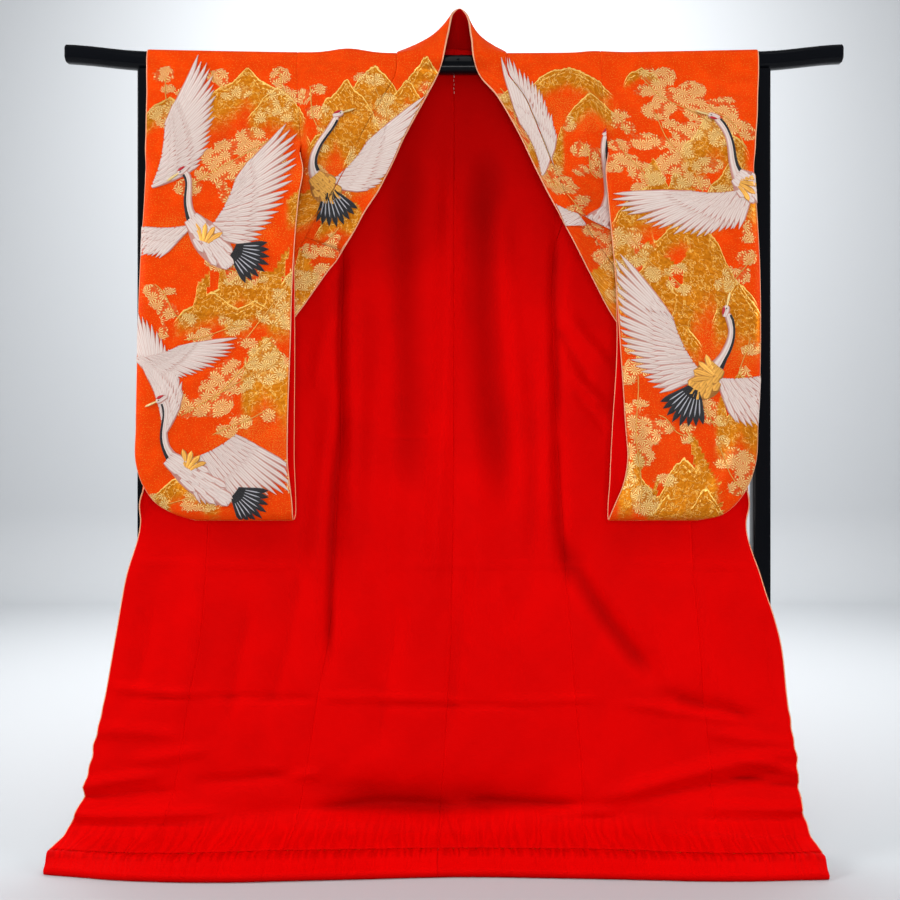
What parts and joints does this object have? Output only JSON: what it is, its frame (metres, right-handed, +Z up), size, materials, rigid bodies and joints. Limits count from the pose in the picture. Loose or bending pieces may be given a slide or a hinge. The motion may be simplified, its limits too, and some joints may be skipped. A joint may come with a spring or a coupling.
{
  "type": "uchikake wedding kimono on a kimono stand",
  "caption": "Long-sleeved brocade wedding overcoat with cranes, pines and hills, red silk lining and padded hem, spread open by its shoulders on a black lacquered kimono stand.",
  "frame": {"origin": "on the floor, in the middle of the bounding box's width and depth", "axes": "+X to the viewer's right along the stand's rail, +Y away from the viewer towards the back of the garment, +Z up; the garment's open front faces -Y"},
  "size_m": [1.671, 0.4587, 1.812],
  "materials": {
    "brocade": "figured silk brocade, vermilion ground woven and embroidered with gold, white and black",
    "red_silk": "plain soft silk, low sheen",
    "lacquer": "wood under black gloss lacquer"
  },
  "bodies": {
    "root": {"back_left": "brocade", "back_left_lining": "red_silk", "back_left_skirt": "brocade", "back_left_skirt_lining": "red_silk", "back_right": "brocade", "back_right_lining": "red_silk", "back_right_skirt": "brocade", "back_right_skirt_lining": "red_silk", "collar": "brocade", "collar_lining": "red_silk", "crossbar": "lacquer", "foot_left": "lacquer", "foot_right": "lacquer", "front_left": "brocade", "front_left_lining": "red_silk", "front_left_skirt": "brocade", "front_left_skirt_lining": "red_silk", "front_right": "brocade", "front_right_lining": "red_silk", "front_right_skirt": "brocade", "front_right_skirt_lining": "red_silk", "hem_left": "red_silk", "hem_right": "red_silk", "okumi_left": "brocade", "okumi_left_lining": "red_silk", "okumi_right": "brocade", "okumi_right_lining": "red_silk", "overlay_collar": "brocade", "post_left": "lacquer", "post_right": "lacquer", "rail": "lacquer", "sleeve_left": "brocade", "sleeve_left_lining": "red_silk", "sleeve_right": "brocade", "sleeve_right_lining": "red_silk"}
  },
  "joints": []
}
